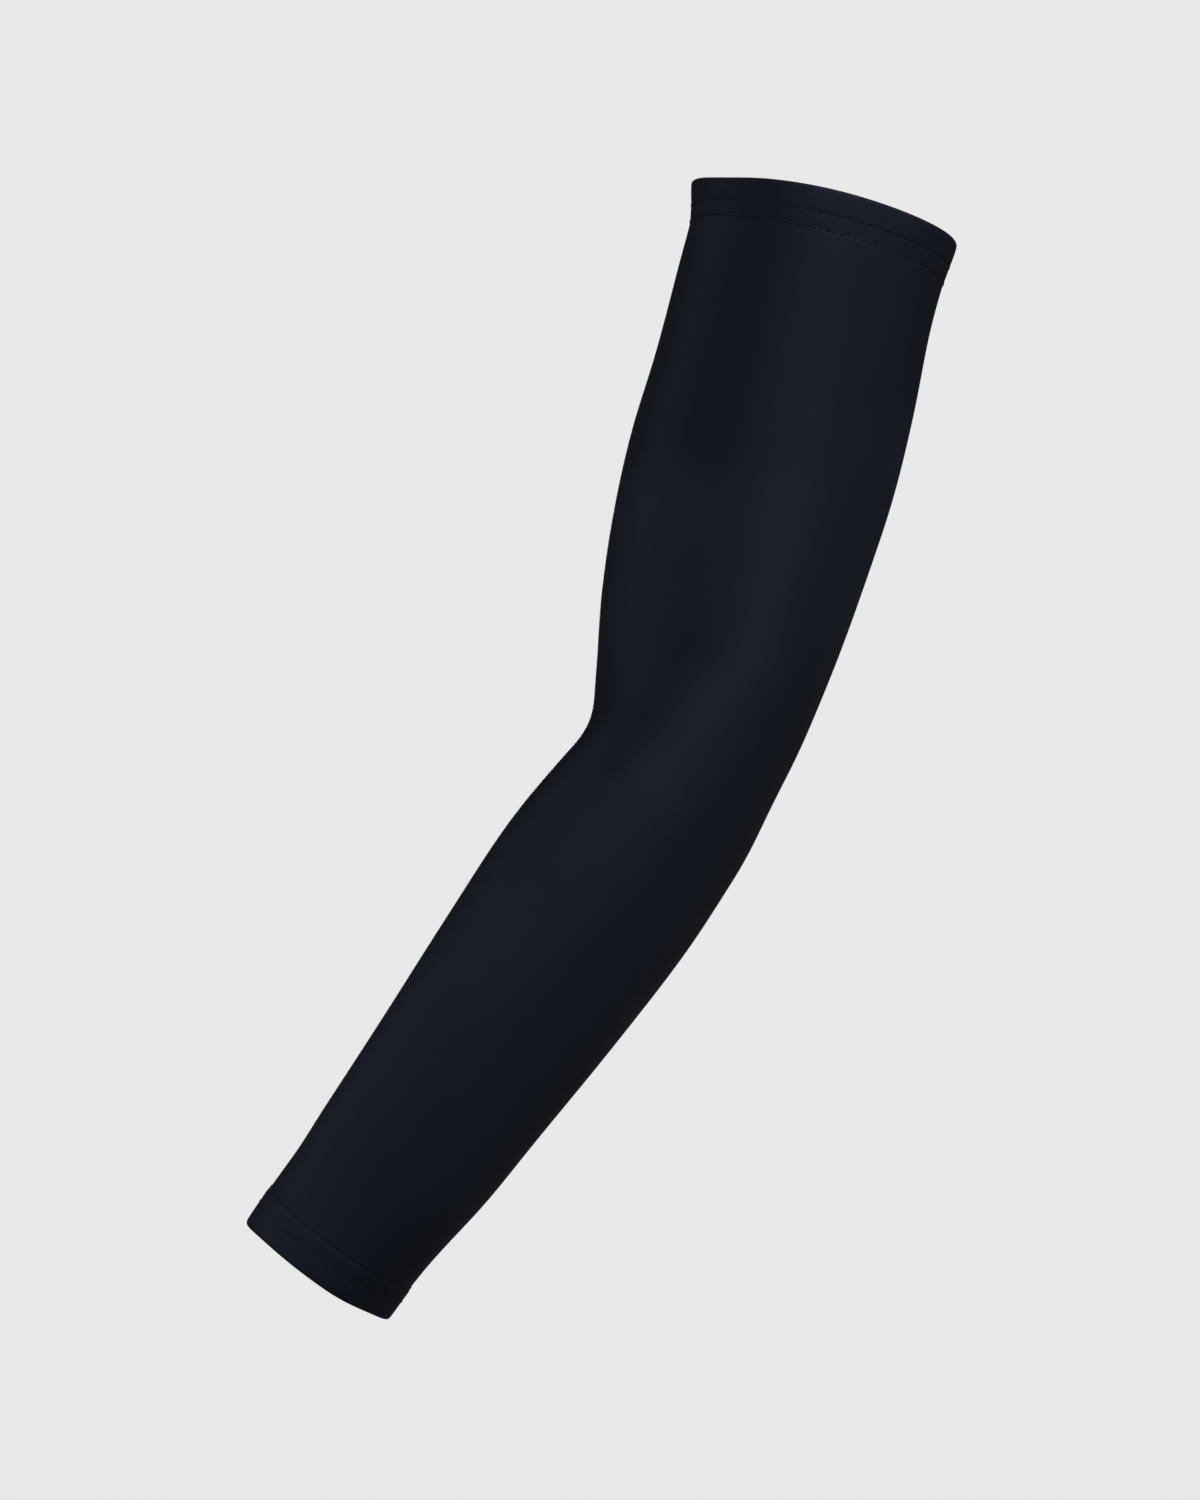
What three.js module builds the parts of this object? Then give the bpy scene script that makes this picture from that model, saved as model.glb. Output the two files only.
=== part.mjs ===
// Arm warmer: a plain stretch-knit sleeve in the form of a slightly bent arm,
// with a turned double hem around the upper arm and another around the wrist.
// Units are millimetres and +Z is up. The origin is the centre of the upper opening.
// The inside of the elbow faces -X and the outer side of the arm faces -Y.
import * as THREE from "three";

const { degToRad, clamp, lerp } = THREE.MathUtils;

// Driving dimensions
const SLEEVE_LENGTH = 435; // from rim to rim along the axis of the arm
const UPPER_ARM_LENGTH = 188.6; // straight run from the upper rim to the elbow
const UPPER_ARM_LEAN = degToRad(14.4); // tilt of the upper arm from upright
const ELBOW_BEND = degToRad(21.7); // turn of the forearm from the upper arm
const ELBOW_RADIUS = 109.4; // bend of the axis at the elbow
const KNIT_THICKNESS = 1.2; // one layer of cloth
const HEM_THICKNESS = 2.4; // two layers of cloth
const HEM_STEP = 0.6; // how far a hem stands out from the sleeve
const UPPER_HEM_HEIGHT = 16;
const WRIST_HEM_HEIGHT = 15.7;
const SEAM_GAP = 0.3; // clearance between the sleeve and each hem

// Sections square to the axis. Along is the distance from the upper rim. Front and back are the
// reach from the axis to the inside of the elbow and to the back of the arm, and side is the reach
// to the outer and inner sides. Fullness is the power of the oval: 2 is an ellipse, more is squarer.
const SECTIONS = [
  { along: 0, front: 50.2, back: 48.5, side: 43.5, fullness: 2.1 },
  { along: 12, front: 47.5, back: 47.6, side: 43.0, fullness: 2.1 },
  { along: 30, front: 47.4, back: 47.0, side: 43.0, fullness: 2.2 },
  { along: 65, front: 47.6, back: 48.8, side: 44.0, fullness: 2.3 },
  { along: 95, front: 49.0, back: 49.1, side: 45.0, fullness: 2.3 },
  { along: 125, front: 48.0, back: 47.1, side: 44.0, fullness: 2.3 },
  { along: 155, front: 44.8, back: 44.3, side: 42.0, fullness: 2.2 },
  { along: 185, front: 39.3, back: 40.2, side: 40.0, fullness: 2.1 },
  { along: 207, front: 36.5, back: 36.5, side: 39.0, fullness: 2.1 },
  { along: 230, front: 38.1, back: 38.0, side: 38.5, fullness: 2.1 },
  { along: 260, front: 40.0, back: 39.6, side: 38.0, fullness: 2.2 },
  { along: 305, front: 37.8, back: 38.5, side: 35.5, fullness: 2.2 },
  { along: 350, front: 34.8, back: 36.0, side: 31.5, fullness: 2.2 },
  { along: 380, front: 33.0, back: 34.4, side: 27.5, fullness: 2.2 },
  { along: 400, front: 31.9, back: 32.0, side: 24.5, fullness: 2.2 },
  { along: 415, front: 32.0, back: 30.6, side: 23.0, fullness: 2.2 },
  { along: 435, front: 31.4, back: 30.5, side: 22.0, fullness: 2.2 },
];

// Soft ridges and folds where the cloth follows the muscles and the bend. Each runs along a line
// on the cloth, from one along and turn to another. Turn is the angle in degrees from the outer
// side, towards the back of the arm. Rise is the height at each end, and spread is the half width.
const FOLDS = [
  { place: "groove behind the biceps", along: [-10, 172], turn: [-39, -22], rise: [-1.6, -2.8], spread: 11 },
  { place: "ridge of the upper arm", along: [-10, 172], turn: [0, 16], rise: [1.2, 2.8], spread: 12 },
  { place: "fold of the elbow", along: [174, 222], turn: [-10, -38], rise: [-2.6, -2.2], spread: 7 },
  { place: "muscle below the elbow", along: [196, 300], turn: [0, -26], rise: [2.6, 1.6], spread: 14 },
  { place: "valley of the forearm", along: [238, 306], turn: [-40, -40], rise: [-1.6, -1.2], spread: 8 },
  { place: "front of the forearm", along: [240, 388], turn: [-60, -66], rise: [1.6, 1.2], spread: 9 },
];

// Mesh steps
const COLUMNS = 44; // around the arm
const OUTER_ROWS = 60; // along the outside of the sleeve
const INNER_ROWS = 36; // along the inside of the sleeve
const HEM_ROWS = 3; // along each face of a hem
const FOLD_STEPS = 5; // around the folded edge of a hem
const OUTER_SIDE_DETAIL = 0.35; // how much closer the columns stand on the outer side

const KNIT_COLOUR = 0x181b24;
const KNIT_ROUGHNESS = 0.8;

const sectionAt = new THREE.CubicInterpolant(
  SECTIONS.map((row) => row.along),
  SECTIONS.flatMap((row) => [row.front, row.back, row.side, row.fullness]),
  4,
  [0, 0, 0, 0],
);

// The axis in the frame of the upper arm: straight down, round the elbow, then straight again.
function axisAt(along) {
  const bend = clamp((along - UPPER_ARM_LENGTH) / ELBOW_RADIUS, 0, ELBOW_BEND);
  const upper = Math.min(along, UPPER_ARM_LENGTH);
  const fore = Math.max(along - UPPER_ARM_LENGTH - ELBOW_RADIUS * ELBOW_BEND, 0);
  const down = new THREE.Vector3(-Math.sin(bend), 0, -Math.cos(bend));
  const backward = new THREE.Vector3(Math.cos(bend), 0, -Math.sin(bend));
  const elbow = new THREE.Vector3(Math.cos(bend) - 1, 0, -Math.sin(bend)).multiplyScalar(ELBOW_RADIUS);
  const centre = new THREE.Vector3(0, 0, -upper).add(elbow).addScaledVector(down, fore);
  return { centre, backward };
}

// A place on the cloth, unrolled flat: distance along the arm and distance around it.
function unrolled(along, turn) {
  const [front, back, side] = sectionAt.evaluate(along);
  const radius = (front + back + 2 * side) / 4;
  return new THREE.Vector3(along, turn * radius, 0);
}

// The height that all the ridges and folds together give the cloth at one place.
function reliefAt(along, turn) {
  const place = unrolled(along, turn);
  const nearest = new THREE.Vector3();
  let height = 0;
  for (const fold of FOLDS) {
    const start = unrolled(fold.along[0], degToRad(fold.turn[0]));
    const end = unrolled(fold.along[1], degToRad(fold.turn[1]));
    const line = new THREE.Line3(start, end);
    const share = line.closestPointToPointParameter(place, true);
    const distance = line.at(share, nearest).distanceTo(place);
    height += lerp(...fold.rise, share) * Math.exp(-0.5 * (distance / fold.spread) ** 2);
  }
  return height;
}

// A point of the cloth, inset from the outer face of the sleeve.
function clothPoint(along, turn, inset) {
  const [front, back, side, fullness] = sectionAt.evaluate(along);
  const { centre, backward } = axisAt(along);
  const oval = (reach, share) => (reach - inset) * Math.sign(share) * Math.abs(share) ** (2 / fullness);
  const across = oval(turn < 0 ? front : back, Math.sin(turn));
  const outward = oval(side, Math.cos(turn));
  const offset = new THREE.Vector3(0, -outward, 0).addScaledVector(backward, across);
  offset.setLength(offset.length() + reliefAt(along, turn));
  return centre.add(offset);
}

// A closed ring of cloth: the cut section of its wall, carried once around the arm.
function clothRing(name, wall) {
  const corners = [];
  for (const { along, inset } of wall) {
    for (let column = 0; column < COLUMNS; column++) {
      const even = (2 * Math.PI * column) / COLUMNS - Math.PI;
      const turn = even - OUTER_SIDE_DETAIL * Math.sin(even);
      corners.push(clothPoint(along, turn, inset));
    }
  }
  const faces = [];
  for (let row = 0; row < wall.length; row++) {
    const nextRow = (row + 1) % wall.length;
    for (let column = 0; column < COLUMNS; column++) {
      const nextColumn = (column + 1) % COLUMNS;
      const a = row * COLUMNS + column;
      const b = row * COLUMNS + nextColumn;
      const c = nextRow * COLUMNS + nextColumn;
      const d = nextRow * COLUMNS + column;
      faces.push(a, c, b, a, d, c);
    }
  }
  const geometry = new THREE.BufferGeometry().setFromPoints(corners);
  geometry.setIndex(faces);
  geometry.computeVertexNormals();
  const material = new THREE.MeshStandardMaterial({
    color: KNIT_COLOUR,
    roughness: KNIT_ROUGHNESS,
    metalness: 0,
  });
  const mesh = new THREE.Mesh(geometry, material);
  mesh.name = name;
  return mesh;
}

// Evenly spaced points of a wall along one of its faces.
function wallFace(from, to, rows, inset) {
  const face = [];
  for (let row = 0; row < rows; row++) {
    face.push({ along: lerp(from, to, row / (rows - 1)), inset });
  }
  return face;
}

// The sleeve's wall is one layer of cloth between the two hems.
function sleeveWall() {
  const top = UPPER_HEM_HEIGHT + SEAM_GAP;
  const bottom = SLEEVE_LENGTH - WRIST_HEM_HEIGHT - SEAM_GAP;
  return [...wallFace(top, bottom, OUTER_ROWS, 0), ...wallFace(bottom, top, INNER_ROWS, KNIT_THICKNESS)];
}

// A hem's wall is cloth turned back on itself, with a round fold at the rim.
function hemWall(rim, seam) {
  const outside = -HEM_STEP;
  const inside = outside + HEM_THICKNESS;
  const radius = HEM_THICKNESS / 2;
  const foldCentre = rim + Math.sign(seam - rim) * radius;
  const wall = wallFace(seam, foldCentre, HEM_ROWS, outside);
  for (let step = 1; step < FOLD_STEPS; step++) {
    const angle = (Math.PI * step) / FOLD_STEPS;
    wall.push({
      along: foldCentre - Math.sign(seam - rim) * radius * Math.sin(angle),
      inset: outside + radius - radius * Math.cos(angle),
    });
  }
  wall.push(...wallFace(foldCentre, seam, HEM_ROWS, inside));
  return seam > rim ? wall.reverse() : wall;
}

const arm = new THREE.Group();
arm.rotation.y = UPPER_ARM_LEAN;
arm.add(clothRing("sleeve", sleeveWall()));
arm.add(clothRing("upper_hem", hemWall(0, UPPER_HEM_HEIGHT)));
arm.add(clothRing("wrist_hem", hemWall(SLEEVE_LENGTH, SLEEVE_LENGTH - WRIST_HEM_HEIGHT)));

const armWarmer = new THREE.Group();
armWarmer.add(arm);

export default armWarmer;
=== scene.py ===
import math
import bpy
import numpy as np
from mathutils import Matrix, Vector
from mathutils.bvhtree import BVHTree


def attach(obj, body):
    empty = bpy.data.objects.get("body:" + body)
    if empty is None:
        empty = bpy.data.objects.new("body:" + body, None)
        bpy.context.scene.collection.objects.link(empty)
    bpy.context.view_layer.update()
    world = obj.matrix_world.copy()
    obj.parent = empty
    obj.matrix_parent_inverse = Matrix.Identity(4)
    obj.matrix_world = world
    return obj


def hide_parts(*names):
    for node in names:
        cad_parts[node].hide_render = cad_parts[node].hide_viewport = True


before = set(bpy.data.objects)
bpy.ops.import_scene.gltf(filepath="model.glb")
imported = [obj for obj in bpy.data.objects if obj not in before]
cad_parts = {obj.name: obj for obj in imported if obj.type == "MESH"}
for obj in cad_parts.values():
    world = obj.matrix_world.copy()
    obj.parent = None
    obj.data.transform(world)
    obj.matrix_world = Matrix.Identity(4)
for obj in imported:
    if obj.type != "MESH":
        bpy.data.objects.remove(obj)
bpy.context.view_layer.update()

# Sleeve
# One layer of fine black jersey, knitted as a tube that narrows from the upper arm to the wrist.
# On the arm it is stretched and follows the muscles, with a soft fold at the inside of the elbow.
# Both of its ends are caught between the two layers of a hem.
SLEEVE_LENGTH = 0.435  # from rim to rim along the axis of the arm
UPPER_ARM_LENGTH = 0.1886  # from the upper rim to the start of the elbow
UPPER_ARM_LEAN = math.radians(14.4)
ELBOW_BEND = math.radians(21.7)
ELBOW_RADIUS = 0.1094
UPPER_SEAM = 0.016  # where each hem ends, measured as the length is
WRIST_SEAM = 0.4193
KNIT_THICKNESS = 0.0012
KNIT_OFFSET = -0.45  # the wall lies mostly inside the smoothed face
SEAM_TUCK = 0.0025  # how far the sleeve runs in between the layers of a hem
SEAM_REACH = 0.0015  # a corner closer to a seam than this is on the open end there
OUTER_SIDE = Vector((0, -1, 0))
OUTWARD_SHARE = 0.3  # the outer face's normals point away from the arm by more than this
MERGE_DISTANCE = 0.00001
MERGE_ANGLE = math.radians(70)  # pairs of triangles up to this far from a flat rectangle become quads


def down_arm(lean):
    return Vector((-math.sin(lean), 0, -math.cos(lean)))


def back_of_arm(lean):
    return Vector((math.cos(lean), 0, -math.sin(lean)))


elbow_start = down_arm(UPPER_ARM_LEAN) * UPPER_ARM_LENGTH
elbow_pivot = elbow_start - back_of_arm(UPPER_ARM_LEAN) * ELBOW_RADIUS


def axis_at(along):
    """The centre of the arm at a distance from the upper rim, and how far the arm leans there."""
    bend = min(max((along - UPPER_ARM_LENGTH) / ELBOW_RADIUS, 0), ELBOW_BEND)
    lean = UPPER_ARM_LEAN + bend
    straight = along - UPPER_ARM_LENGTH - bend * ELBOW_RADIUS
    centre = elbow_pivot + back_of_arm(lean) * ELBOW_RADIUS + down_arm(lean) * straight
    return centre, lean


def place_on_arm(point):
    """A point's distance along the arm, and its turn around it from the outer side."""
    arm = point - elbow_pivot
    bend = math.atan2(arm.dot(down_arm(UPPER_ARM_LEAN)), arm.dot(back_of_arm(UPPER_ARM_LEAN)))
    bend = min(max(bend, 0), ELBOW_BEND)
    lean = UPPER_ARM_LEAN + bend
    along = UPPER_ARM_LENGTH + bend * ELBOW_RADIUS + arm.dot(down_arm(lean))
    if 0 < bend < ELBOW_BEND:
        along = UPPER_ARM_LENGTH + bend * ELBOW_RADIUS
    centre, lean = axis_at(along)
    offset = point - centre
    return along, math.atan2(offset.dot(back_of_arm(lean)), offset.dot(OUTER_SIDE))


def cloth_copy(node, name):
    """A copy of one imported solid, with its loose triangles merged into quads."""
    cloth = bpy.data.objects.new(name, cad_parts[node].data.copy())
    bpy.context.collection.objects.link(cloth)
    cloth.data.materials.clear()
    bpy.ops.object.select_all(action="DESELECT")
    cloth.select_set(True)
    bpy.context.view_layer.objects.active = cloth
    bpy.ops.object.mode_set(mode="EDIT")
    bpy.ops.mesh.select_all(action="SELECT")
    bpy.ops.mesh.customdata_custom_splitnormals_clear()
    bpy.ops.mesh.remove_doubles(threshold=MERGE_DISTANCE)
    bpy.ops.mesh.tris_convert_to_quads(face_threshold=MERGE_ANGLE, shape_threshold=MERGE_ANGLE)
    bpy.ops.object.mode_set(mode="OBJECT")
    return cloth


def select_only(parts, select_mode, wanted):
    """Select the corners or faces of the active cloth for which wanted holds, and go into edit mode."""
    bpy.context.tool_settings.mesh_select_mode = select_mode
    bpy.ops.object.mode_set(mode="EDIT")
    bpy.ops.mesh.select_all(action="DESELECT")
    bpy.ops.object.mode_set(mode="OBJECT")
    for part in parts:
        part.select = wanted(part)
    bpy.ops.object.mode_set(mode="EDIT")


def delete_faces(cloth, unwanted):
    """Delete the faces for which unwanted(face) holds."""
    select_only(cloth.data.polygons, (False, False, True), unwanted)
    bpy.ops.mesh.delete(type="FACE")
    bpy.ops.object.mode_set(mode="OBJECT")


def tuck_end(cloth, seam, direction):
    """Slide one open end of the cloth on past its seam."""

    def at_seam(corner):
        return abs(place_on_arm(corner.co)[0] - seam) < SEAM_REACH

    select_only(cloth.data.vertices, (True, False, False), at_seam)
    bpy.ops.transform.translate(value=direction * SEAM_TUCK)
    bpy.ops.object.mode_set(mode="OBJECT")


def finish_with(cloth, kind, **settings):
    """Add one modifier to the cloth and apply it."""
    modifier = cloth.modifiers.new(kind.title(), kind)
    for setting, value in settings.items():
        setattr(modifier, setting, value)
    bpy.context.view_layer.objects.active = cloth
    bpy.ops.object.modifier_apply(modifier=modifier.name)


# Painted light and shade: the knit's colour is made lighter in bands where light falls on the arm,
# mostly along its ridges, and darker in its grooves, in the fold and crook of the elbow and on the back
# of the arm and wrist, where shade falls. Each line on the cloth runs from one distance along the arm,
# in mm, and one turn from the outer side, in degrees, to another. Its tone is the share lighter or
# darker, and its spread is the half width in mm.
PAINTED_LIGHT_AND_SHADE_LINES = (
    dict(place="upper rim", along=(2, 6), turn=(-12, 24), tone=0.24, spread=10),
    dict(place="front of the upper rim", along=(0, 12), turn=(-74, -66), tone=0.28, spread=9),
    dict(place="outer side below the hem", along=(18, 60), turn=(14, 24), tone=-0.10, spread=12),
    dict(place="back below the hem", along=(22, 50), turn=(72, 72), tone=-0.16, spread=9),
    dict(place="groove behind the biceps", along=(-10, 92), turn=(-34, -30), tone=-0.50, spread=10),
    dict(place="ridge of the upper arm", along=(-10, 92), turn=(-4, 13), tone=0.10, spread=7),
    dict(place="back of the upper arm", along=(85, 150), turn=(72, 72), tone=0.25, spread=12),
    dict(place="front of the upper arm", along=(122, 168), turn=(-64, -58), tone=0.45, spread=9),
    dict(place="ridge above the elbow", along=(110, 160), turn=(14, 16), tone=0.48, spread=8),
    dict(place="ridge across the elbow", along=(180, 214), turn=(12, -4), tone=0.38, spread=9),
    dict(place="fold of the elbow", along=(180, 222), turn=(-19, -38), tone=-0.27, spread=6),
    dict(place="crook of the elbow", along=(202, 250), turn=(-82, -82), tone=-0.62, spread=8),
    dict(place="front of the elbow", along=(215, 265), turn=(-42, -38), tone=-0.08, spread=9),
    dict(place="back of the elbow", along=(190, 255), turn=(75, 75), tone=-0.26, spread=9),
    dict(place="ridge of the forearm", along=(234, 312), turn=(-3, -18), tone=0.21, spread=8),
    dict(place="back of the forearm", along=(312, 350), turn=(70, 70), tone=-0.28, spread=9),
    dict(place="front of the forearm", along=(335, 392), turn=(-66, -70), tone=0.23, spread=9),
    dict(place="back of the wrist", along=(420, 450), turn=(46, 38), tone=-0.41, spread=19),
)
CLOTH_RADIUS = 40  # mean radius of the tube in mm, to measure around it
MM_PER_METRE = 1000


def lay_out_knit(cloth):
    """A UV map that follows the knit, once around across and rim to rim upwards, and the painted light
    and shade along the lines above.
    """
    places = np.array([place_on_arm(corner.co) for corner in cloth.data.vertices])
    layer = cloth.data.uv_layers.new(name="knit")
    for face in cloth.data.polygons:
        turns = [places[corner][1] / (2 * math.pi) + 0.5 for corner in face.vertices]
        across_join = max(turns) - min(turns) > 0.5
        for loop, corner, turn in zip(face.loop_indices, face.vertices, turns):
            if across_join and turn < 0.5:
                turn += 1
            layer.data[loop].uv = (turn, 1 - places[corner][0] / SLEEVE_LENGTH)
    unrolled = places * (MM_PER_METRE, CLOTH_RADIUS)
    painted_light_and_shade = np.zeros(len(places))
    for line in PAINTED_LIGHT_AND_SHADE_LINES:
        start, end = np.column_stack((line["along"], np.radians(line["turn"]) * CLOTH_RADIUS))
        run = end - start
        share = np.clip((unrolled - start) @ run / (run @ run), 0, 1)
        distance = np.linalg.norm(unrolled - start - share[:, None] * run, axis=1)
        # painted light and shade, fading away from each line
        painted_light_and_shade += line["tone"] * np.exp(-0.5 * (distance / line["spread"]) ** 2)
    cloth.data.attributes.new("painted_light_and_shade", "FLOAT", "POINT").data.foreach_set("value", painted_light_and_shade)


def is_outside(face):
    """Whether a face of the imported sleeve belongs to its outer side."""
    along, turn = place_on_arm(face.center)
    centre, lean = axis_at(along)
    return face.normal.dot((face.center - centre).normalized()) > OUTWARD_SHARE


sleeve = cloth_copy("sleeve", "knit_sleeve")
delete_faces(sleeve, lambda face: not is_outside(face))
tuck_end(sleeve, UPPER_SEAM, -down_arm(UPPER_ARM_LEAN))
tuck_end(sleeve, WRIST_SEAM, down_arm(UPPER_ARM_LEAN + ELBOW_BEND))
finish_with(sleeve, "SUBSURF", levels=2, render_levels=2)
# the UV map and the painted light and shade of the sleeve
lay_out_knit(sleeve)
finish_with(sleeve, "SOLIDIFY", thickness=KNIT_THICKNESS, offset=KNIT_OFFSET)
bpy.ops.object.shade_smooth()


KNIT_COLUMNS = 330  # columns of loops around the sleeve
KNIT_ROWS = 640  # rows of loops from rim to rim
KNIT_FUZZ = 0.3
LOOP_SLANT = 1.6  # how steeply the two legs of a loop lean together
FIBRE_SCALE = 1.7
PATCH_SCALE = 0.045
# painted shade in the valleys between the loops of the knit; the thread mixes the same two colours at
# random along its strands
KNIT_VALLEY_SHADE_AND_DARK_STRAND = (0.0053, 0.0063, 0.0103, 1)
KNIT_CROWN = (0.0139, 0.0165, 0.0272, 1)
KNIT_RELIEF = 0.00005
KNIT_BUMP = 0.5
UNEVENNESS = 0.12  # how much the tone changes from patch to patch
KNIT_ROUGHNESS = 0.72  # between the loops
CROWN_SMOOTHNESS = 0.14  # how much less rough the crowns of the loops are
HIGHLIGHT = 0.13
HIGHLIGHT_TINT = (0.50, 0.63, 1, 1)


def add_math(tree, operation, first, second, third=None):
    """One Math node; a number sets its socket and anything else is linked to it."""
    node = tree.nodes.new("ShaderNodeMath")
    node.operation = operation
    for socket, value in zip(node.inputs, (first, second, third)):
        if isinstance(value, (int, float)):
            socket.default_value = value
        elif value is not None:
            tree.links.new(value, socket)
    return node.outputs[0]


def jersey_group():
    """Jersey knit on a UV map: columns of loops, each loop a pair of slanting legs."""
    group = bpy.data.node_groups.new("jersey_loops", "ShaderNodeTree")
    group.interface.new_socket("UV", in_out="INPUT", socket_type="NodeSocketVector")
    for name, amount in (("Columns", KNIT_COLUMNS), ("Rows", KNIT_ROWS), ("Fuzz", KNIT_FUZZ)):
        socket = group.interface.new_socket(name, in_out="INPUT", socket_type="NodeSocketFloat")
        socket.default_value = amount
    for name in ("Height", "Yarn", "Unevenness"):
        group.interface.new_socket(name, in_out="OUTPUT", socket_type="NodeSocketFloat")
    given = group.nodes.new("NodeGroupInput")
    result = group.nodes.new("NodeGroupOutput")
    split = group.nodes.new("ShaderNodeSeparateXYZ")
    group.links.new(given.outputs["UV"], split.inputs[0])
    across = add_math(group, "MULTIPLY", split.outputs["X"], given.outputs["Columns"])
    upward = add_math(group, "MULTIPLY", split.outputs["Y"], given.outputs["Rows"])
    side = add_math(group, "PINGPONG", across, 0.5)
    slanted = add_math(group, "MULTIPLY_ADD", side, LOOP_SLANT, upward)
    # A leg rises to a quarter and a turn to a half, so eight times their product reaches one.
    leg = add_math(group, "PINGPONG", across, 0.25)
    turn = add_math(group, "PINGPONG", slanted, 0.5)
    loop = add_math(group, "MULTIPLY", leg, turn)
    rounded = add_math(group, "POWER", add_math(group, "MULTIPLY", loop, 8), 0.5)
    grid = group.nodes.new("ShaderNodeCombineXYZ")
    group.links.new(across, grid.inputs["X"])
    group.links.new(upward, grid.inputs["Y"])
    fibre = group.nodes.new("ShaderNodeTexNoise")
    fibre.inputs["Scale"].default_value = FIBRE_SCALE
    fibre.inputs["Detail"].default_value = 3
    group.links.new(grid.outputs[0], fibre.inputs["Vector"])
    patches = group.nodes.new("ShaderNodeTexNoise")
    patches.inputs["Scale"].default_value = PATCH_SCALE
    patches.inputs["Detail"].default_value = 4
    group.links.new(grid.outputs[0], patches.inputs["Vector"])
    fuzz = add_math(group, "MULTIPLY", fibre.outputs["Fac"], given.outputs["Fuzz"])
    group.links.new(add_math(group, "ADD", rounded, fuzz), result.inputs["Height"])
    group.links.new(rounded, result.inputs["Yarn"])
    group.links.new(patches.outputs["Fac"], result.inputs["Unevenness"])
    return group


jersey_loops = jersey_group()


def knit_material(name):
    """Black jersey: painted shade between the loops, a little lighter on their crowns, matt, and with
    painted light and shade along the lines.
    """
    material = bpy.data.materials.new(name)
    material.use_nodes = True
    tree = material.node_tree
    shader = tree.nodes["Principled BSDF"]
    layout = tree.nodes.new("ShaderNodeUVMap")
    layout.uv_map = "knit"
    knit = tree.nodes.new("ShaderNodeGroup")
    knit.node_tree = jersey_loops
    tree.links.new(layout.outputs["UV"], knit.inputs["UV"])
    # painted shade in the valleys between the loops, lighter up on their crowns
    tint = tree.nodes.new("ShaderNodeMix")
    tint.data_type = "RGBA"
    tint.inputs["A"].default_value = KNIT_VALLEY_SHADE_AND_DARK_STRAND
    tint.inputs["B"].default_value = KNIT_CROWN
    tree.links.new(knit.outputs["Yarn"], tint.inputs["Factor"])
    # the painted light and shade laid out with the knit scales the colour, together with the random
    # patches
    painted_light_and_shade = tree.nodes.new("ShaderNodeAttribute")
    painted_light_and_shade.attribute_name = "painted_light_and_shade"
    uneven = add_math(tree, "MULTIPLY_ADD", knit.outputs["Unevenness"], UNEVENNESS, 1 - UNEVENNESS / 2)
    tone = tree.nodes.new("ShaderNodeVectorMath")
    tone.operation = "SCALE"
    tree.links.new(tint.outputs["Result"], tone.inputs[0])
    tree.links.new(add_math(tree, "ADD", uneven, painted_light_and_shade.outputs["Fac"]), tone.inputs["Scale"])
    tree.links.new(tone.outputs[0], shader.inputs["Base Color"])
    matt = add_math(tree, "MULTIPLY_ADD", knit.outputs["Yarn"], -CROWN_SMOOTHNESS, KNIT_ROUGHNESS)
    tree.links.new(matt, shader.inputs["Roughness"])
    bump = tree.nodes.new("ShaderNodeBump")
    bump.inputs["Strength"].default_value = KNIT_BUMP
    bump.inputs["Distance"].default_value = KNIT_RELIEF
    tree.links.new(knit.outputs["Height"], bump.inputs["Height"])
    tree.links.new(bump.outputs["Normal"], shader.inputs["Normal"])
    shader.inputs["Specular IOR Level"].default_value = HIGHLIGHT
    shader.inputs["Specular Tint"].default_value = HIGHLIGHT_TINT
    return material


sleeve.data.materials.append(knit_material("black_jersey"))
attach(sleeve, "root")
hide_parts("sleeve")

# Hems
# The cloth at each end is turned in to a double band about 16 mm deep, with a soft round fold at
# the rim. The upper hem opens out a little, and the wrist hem closes in. Each is pressed flat along
# the two rows of stitching that hold it.
HEM_LAYER = 0.0003
HEM_ROWS_FROM_RIM = (0.0086, 0.0148)  # the two rows of stitching
PRESSED_DEPTH = 0.00012
PRESSED_WIDTH = 0.0009
HEM_STEP = 0.0006  # how far the double cloth stands out from the sleeve
SETTLED_SHARE = 0.8  # how much of that step is gone at the seam
UPPER_SETTLE = 0.012  # how far from the seam each hem starts to settle
WRIST_SETTLE = 0.0025
HEM_SWELL = 0.00022  # makes up for what the smoothing takes off
CUT_EDGE = 0.0001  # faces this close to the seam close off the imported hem
# The rims aren't quite straight. Each wave is a turn around the arm, its width in degrees, and how
# far the rim slides down the arm there.
UPPER_WAVES = (
    (-84, 16, 0.0006),
    (-60, 20, 0.0019),
    (-28, 22, 0.0005),
    (10, 40, 0.0003),
    (55, 22, 0.0002),
)
WRIST_WAVES = ((-88, 20, 0.0013), (-50, 30, -0.0003), (0, 45, -0.0003), (62, 28, -0.0015))
hem_jersey = knit_material("black_hem_jersey")


def hem_slide(waves, turn, from_rim, height):
    """How far the waves slide the cloth down the arm: all the way at the rim, and not at the seam."""
    at_rim = 0
    for at, width, slide in waves:
        at_rim += slide * math.exp(-(((math.degrees(turn) - at) / width) ** 2))
    return at_rim * max(0, 1 - from_rim / height)


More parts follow.
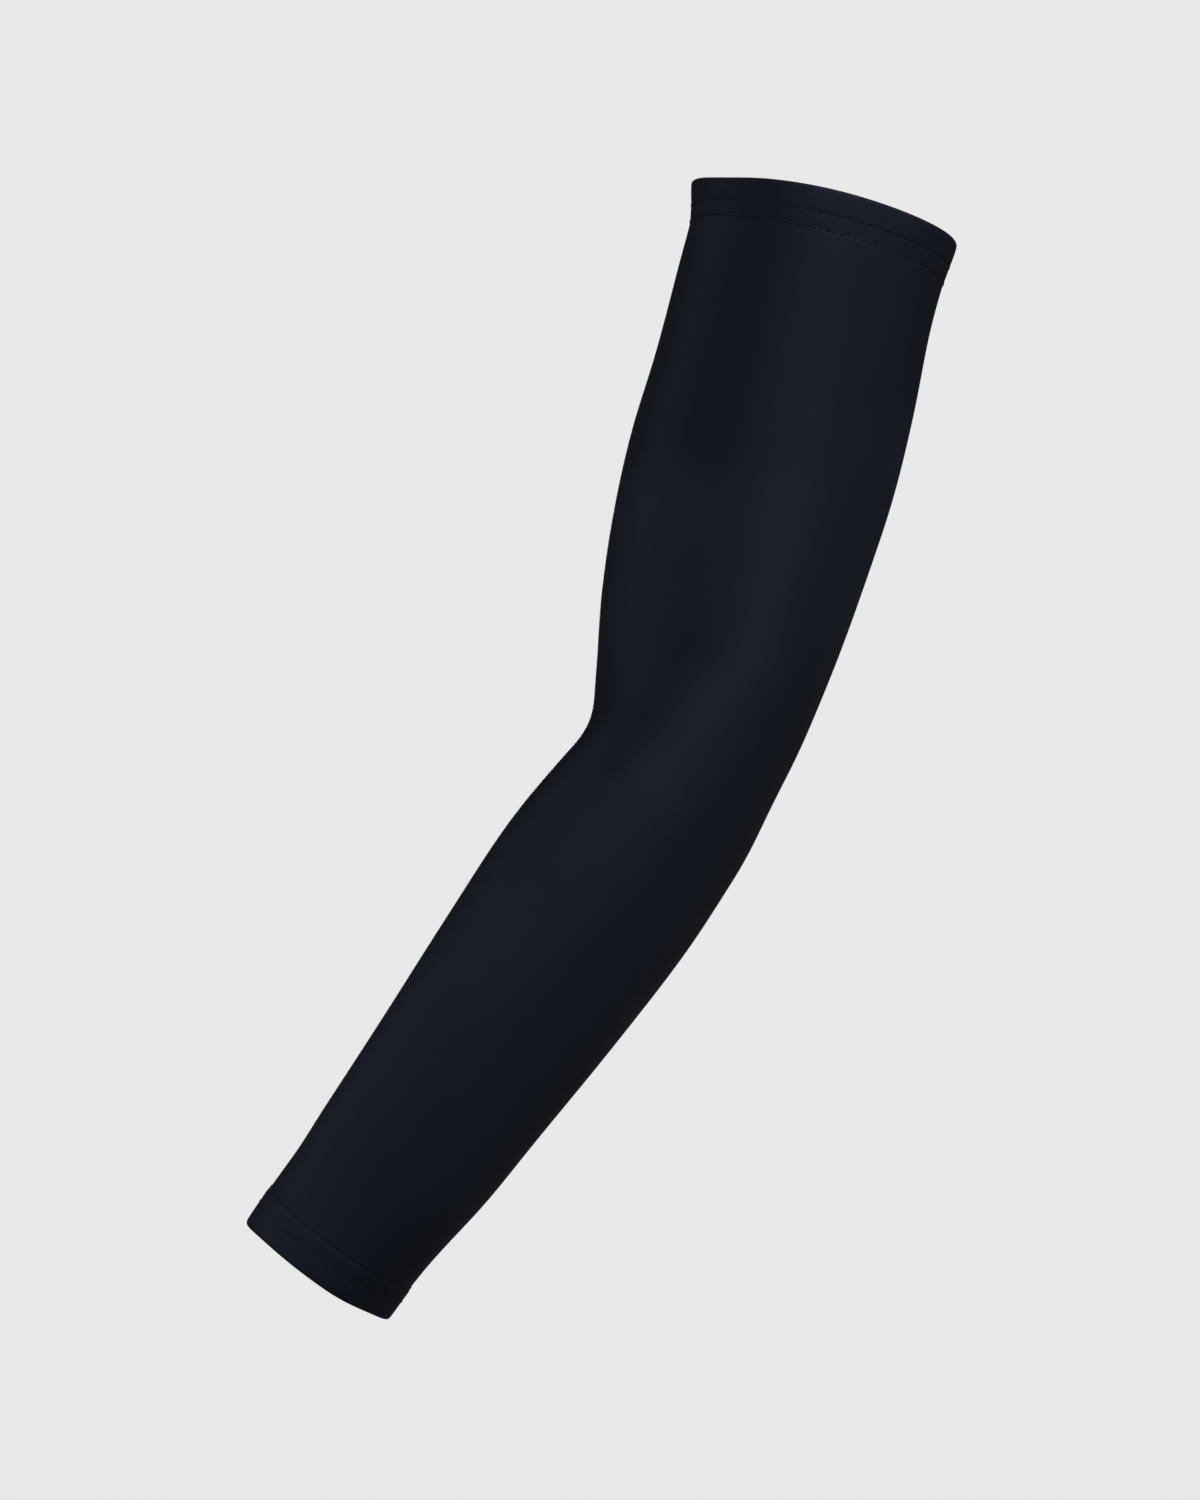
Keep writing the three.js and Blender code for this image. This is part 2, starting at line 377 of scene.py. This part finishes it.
def folded_hem(node, name, rim, seam, settle, waves):
    """One double band of cloth, folded at the rim, that settles into the sleeve at its seam."""
    hem = cloth_copy(node, name)
    delete_faces(hem, lambda face: abs(place_on_arm(face.center)[0] - seam) < CUT_EDGE)
    finish_with(hem, "SUBSURF", levels=3, render_levels=3)
    centre, lean = axis_at(rim)
    height = abs(seam - rim)
    normals = [corner.normal.copy() for corner in hem.data.vertices]
    for corner, normal in zip(hem.data.vertices, normals):
        along, turn = place_on_arm(corner.co)
        from_rim = abs(along - rim)
        from_row = min(abs(from_rim - row) for row in HEM_ROWS_FROM_RIM)
        pressed = PRESSED_DEPTH * math.exp(-((from_row / PRESSED_WIDTH) ** 2))
        settled = max(0, 1 - (height - from_rim) / settle) * SETTLED_SHARE * HEM_STEP
        slide = hem_slide(waves, turn, from_rim, height)
        corner.co += normal * (HEM_SWELL - pressed - settled) + down_arm(lean) * slide
    # the hem gets the same painted light and shade as the sleeve
    lay_out_knit(hem)
    finish_with(hem, "SOLIDIFY", thickness=HEM_LAYER, offset=-1)
    bpy.ops.object.shade_smooth()
    hem.data.materials.append(hem_jersey)
    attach(hem, "root")
    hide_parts(node)
    return hem


upper_hem = folded_hem("upper_hem", "upper_hem_band", 0, UPPER_SEAM, UPPER_SETTLE, UPPER_WAVES)
wrist_hem = folded_hem(
    "wrist_hem", "wrist_hem_band", SLEEVE_LENGTH, WRIST_SEAM, WRIST_SETTLE, WRIST_WAVES
)

# Hem stitching
# Two rows of black polyester thread run around each hem, a cover stitch sewn with twin needles.
# Outside it shows as two lines of short stitches, and inside a looper thread zigzags between them.
THREAD_THICKNESS = 0.00036
LOOPER_RISE = 0.3 * THREAD_THICKNESS  # the looper thread sinks into the cloth
STITCH_LENGTH = 0.0026
HEM_SAMPLES = 720  # points on a line around a hem
OUTSIDE_REACH = 0.1  # farther from the axis than any hem
STRAND_SCALE = 5000
STRAND_RELIEF = 0.00006
STRAND_BUMP = 0.4
THREAD_ROUGHNESS = 0.6  # in the twist
STRAND_ROUGHNESS = 0.2  # how much rougher the strands are
# Shares of one stitch and the height of the thread there: it rises from the cloth and dives back.
STITCH_RISE = ((0.06, -0.00025), (0.2, 0.0001), (0.5, 0.00016), (0.8, 0.0001), (0.94, -0.00025))


def hem_line(surface, rim, seam, row, waves, inside):
    """A line around a hem at one distance from its rim: points, normals and lengths up to each."""
    points, normals = [], []
    for sample in range(HEM_SAMPLES + 1):
        turn = 2 * math.pi * sample / HEM_SAMPLES - math.pi
        slide = hem_slide(waves, turn, row, abs(seam - rim))
        centre, lean = axis_at(rim + math.copysign(row, seam - rim) + slide)
        outward = OUTER_SIDE * math.cos(turn) + back_of_arm(lean) * math.sin(turn)
        if inside:
            point, normal, face, distance = surface.ray_cast(centre, outward)
        else:
            point, normal, face, distance = surface.ray_cast(centre + outward * OUTSIDE_REACH, -outward)
        points.append(point[:])
        normals.append(normal[:])
    points, normals = np.array(points), np.array(normals)
    steps = np.linalg.norm(np.diff(points, axis=0), axis=1)
    return points, normals, np.concatenate(([0], np.cumsum(steps)))


def on_line(line, distance, height):
    """The point at a distance along a closed line, raised from the cloth."""
    points, normals, lengths = line
    distance = distance % lengths[-1]
    point = [np.interp(distance, lengths, points[:, axis]) for axis in range(3)]
    normal = [np.interp(distance, lengths, normals[:, axis]) for axis in range(3)]
    return Vector(point) + Vector(normal).normalized() * height


def sew(name, threads, closed):
    """A round thread through each list of points, as one mesh."""
    curve = bpy.data.curves.new(name, "CURVE")
    curve.dimensions = "3D"
    curve.bevel_depth = THREAD_THICKNESS / 2
    curve.bevel_resolution = 1
    curve.use_fill_caps = True
    for points in threads:
        spline = curve.splines.new("POLY")
        spline.points.add(len(points) - 1)
        spline.use_cyclic_u = closed
        for place, point in zip(spline.points, points):
            place.co = (*point, 1)
    thread = bpy.data.objects.new(name, curve)
    bpy.context.collection.objects.link(thread)
    bpy.ops.object.select_all(action="DESELECT")
    thread.select_set(True)
    bpy.context.view_layer.objects.active = thread
    bpy.ops.object.convert(target="MESH")
    thread = bpy.context.object
    bpy.ops.object.shade_smooth()
    thread.data.materials.append(black_thread)
    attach(thread, "root")
    return thread


def thread_material():
    """Twisted polyester thread, dyed to the colour of the knit and as matt."""
    material = bpy.data.materials.new("black_thread")
    material.use_nodes = True
    tree = material.node_tree
    shader = tree.nodes["Principled BSDF"]
    place = tree.nodes.new("ShaderNodeTexCoord")
    strands = tree.nodes.new("ShaderNodeTexNoise")
    strands.inputs["Scale"].default_value = STRAND_SCALE
    strands.inputs["Detail"].default_value = 2
    tree.links.new(place.outputs["Object"], strands.inputs["Vector"])
    tint = tree.nodes.new("ShaderNodeMix")
    tint.data_type = "RGBA"
    tint.inputs["A"].default_value = KNIT_VALLEY_SHADE_AND_DARK_STRAND
    tint.inputs["B"].default_value = KNIT_CROWN
    tree.links.new(strands.outputs["Fac"], tint.inputs["Factor"])
    tree.links.new(tint.outputs["Result"], shader.inputs["Base Color"])
    matt = add_math(tree, "MULTIPLY_ADD", strands.outputs["Fac"], STRAND_ROUGHNESS, THREAD_ROUGHNESS)
    tree.links.new(matt, shader.inputs["Roughness"])
    bump = tree.nodes.new("ShaderNodeBump")
    bump.inputs["Strength"].default_value = STRAND_BUMP
    bump.inputs["Distance"].default_value = STRAND_RELIEF
    tree.links.new(strands.outputs["Fac"], bump.inputs["Height"])
    tree.links.new(bump.outputs["Normal"], shader.inputs["Normal"])
    shader.inputs["Specular IOR Level"].default_value = HIGHLIGHT
    shader.inputs["Specular Tint"].default_value = HIGHLIGHT_TINT
    return material


black_thread = thread_material()


def cover_stitch(hem, name, rim, seam, waves):
    """The stitch lines outside a hem and the looper thread inside it."""
    surface = BVHTree.FromObject(hem, bpy.context.evaluated_depsgraph_get())
    stitches = []
    for row in HEM_ROWS_FROM_RIM:
        line = hem_line(surface, rim, seam, row, waves, inside=False)
        length = line[2][-1]
        count = round(length / STITCH_LENGTH)
        for stitch in range(count):
            stitches.append(
                [on_line(line, (stitch + share) * length / count, rise) for share, rise in STITCH_RISE]
            )
    lines = [hem_line(surface, rim, seam, row, waves, inside=True) for row in HEM_ROWS_FROM_RIM]
    count = round(lines[0][2][-1] / STITCH_LENGTH)
    zigzag = []
    for stitch in range(count):
        for step, line in enumerate(lines):
            share = (stitch + 0.5 * step) / count
            zigzag.append(on_line(line, share * line[2][-1], LOOPER_RISE))
    return sew(name + "_stitches", stitches, False), sew(name + "_looper", [zigzag], True)


upper_threads = cover_stitch(upper_hem, "upper_hem", 0, UPPER_SEAM, UPPER_WAVES)
wrist_threads = cover_stitch(wrist_hem, "wrist_hem", SLEEVE_LENGTH, WRIST_SEAM, WRIST_WAVES)

# Studio
# A pale floor and surround, a large soft light from the upper right, weaker ones from the left and
# from behind, and a long lens level with the elbow, square to the outer side of the arm.
PALE_GREY = 0.812
FLOOR_LEVEL = -0.75
FLOOR_RADIUS = 4
FLOOR_BOUNCE = 0.3  # how much of the light the floor gives back to the cloth
SURROUND_LIGHT = 0.06
LIGHT_DISTANCE = 6
LENS = 65.75
SENSOR_WIDTH = 36
SUBJECT = Vector((-0.0826, 0, -0.1956))


def pale_surround(tree, output, seen, lit):
    """The same even grey wherever the camera looks, and a plainer one for the light on the cloth."""
    path = tree.nodes.new("ShaderNodeLightPath")
    mix = tree.nodes.new("ShaderNodeMixShader")
    tree.links.new(path.outputs["Is Camera Ray"], mix.inputs["Fac"])
    tree.links.new(lit.outputs[0], mix.inputs[1])
    tree.links.new(seen.outputs[0], mix.inputs[2])
    tree.links.new(mix.outputs[0], output.inputs["Surface"])


bpy.ops.mesh.primitive_circle_add(
    vertices=96, radius=FLOOR_RADIUS, fill_type="NGON", location=(0, 0, FLOOR_LEVEL)
)
floor = bpy.context.object
floor.name = "floor"
floor_paint = bpy.data.materials.new("pale_floor")
floor_paint.use_nodes = True
floor_tree = floor_paint.node_tree
floor_tree.nodes.clear()
floor_seen = floor_tree.nodes.new("ShaderNodeEmission")
floor_seen.inputs["Color"].default_value = (PALE_GREY, PALE_GREY, PALE_GREY, 1)
floor_lit = floor_tree.nodes.new("ShaderNodeBsdfDiffuse")
floor_lit.inputs["Color"].default_value = (FLOOR_BOUNCE, FLOOR_BOUNCE, FLOOR_BOUNCE, 1)
pale_surround(floor_tree, floor_tree.nodes.new("ShaderNodeOutputMaterial"), floor_seen, floor_lit)
floor.data.materials.append(floor_paint)

world = bpy.data.worlds.new("studio")
world.use_nodes = True
world_tree = world.node_tree
world_tree.nodes.clear()
world_seen = world_tree.nodes.new("ShaderNodeBackground")
world_seen.inputs["Color"].default_value = (PALE_GREY, PALE_GREY, PALE_GREY, 1)
world_lit = world_tree.nodes.new("ShaderNodeBackground")
world_lit.inputs["Strength"].default_value = SURROUND_LIGHT
pale_surround(world_tree, world_tree.nodes.new("ShaderNodeOutputWorld"), world_seen, world_lit)
bpy.context.scene.world = world


def soft_light(name, azimuth, elevation, size, power):
    """A square light that faces the sleeve from a bearing around it and a height above it."""
    azimuth, elevation = math.radians(azimuth), math.radians(elevation)
    level = Vector((math.sin(azimuth), -math.cos(azimuth), 0)) * math.cos(elevation)
    away = level + Vector((0, 0, math.sin(elevation)))
    light = bpy.data.lights.new(name, "AREA")
    light.size = size
    light.energy = power
    lamp = bpy.data.objects.new(name, light)
    lamp.location = SUBJECT + away * LIGHT_DISTANCE
    lamp.rotation_euler = away.to_track_quat("Z", "Y").to_euler()
    bpy.context.collection.objects.link(lamp)


soft_light("key_light", azimuth=30, elevation=42, size=2.6, power=322)
soft_light("fill_light", azimuth=-75, elevation=20, size=2.6, power=101)
soft_light("back_light", azimuth=180, elevation=0, size=1.4, power=260)

camera = bpy.data.objects.new("camera", bpy.data.cameras.new("camera"))
camera.data.lens = LENS
camera.data.sensor_width = SENSOR_WIDTH
camera.location = SUBJECT + OUTER_SIDE
camera.rotation_euler = (math.radians(90), 0, 0)
bpy.context.collection.objects.link(camera)
bpy.context.scene.camera = camera
bpy.context.scene.view_settings.view_transform = "Standard"
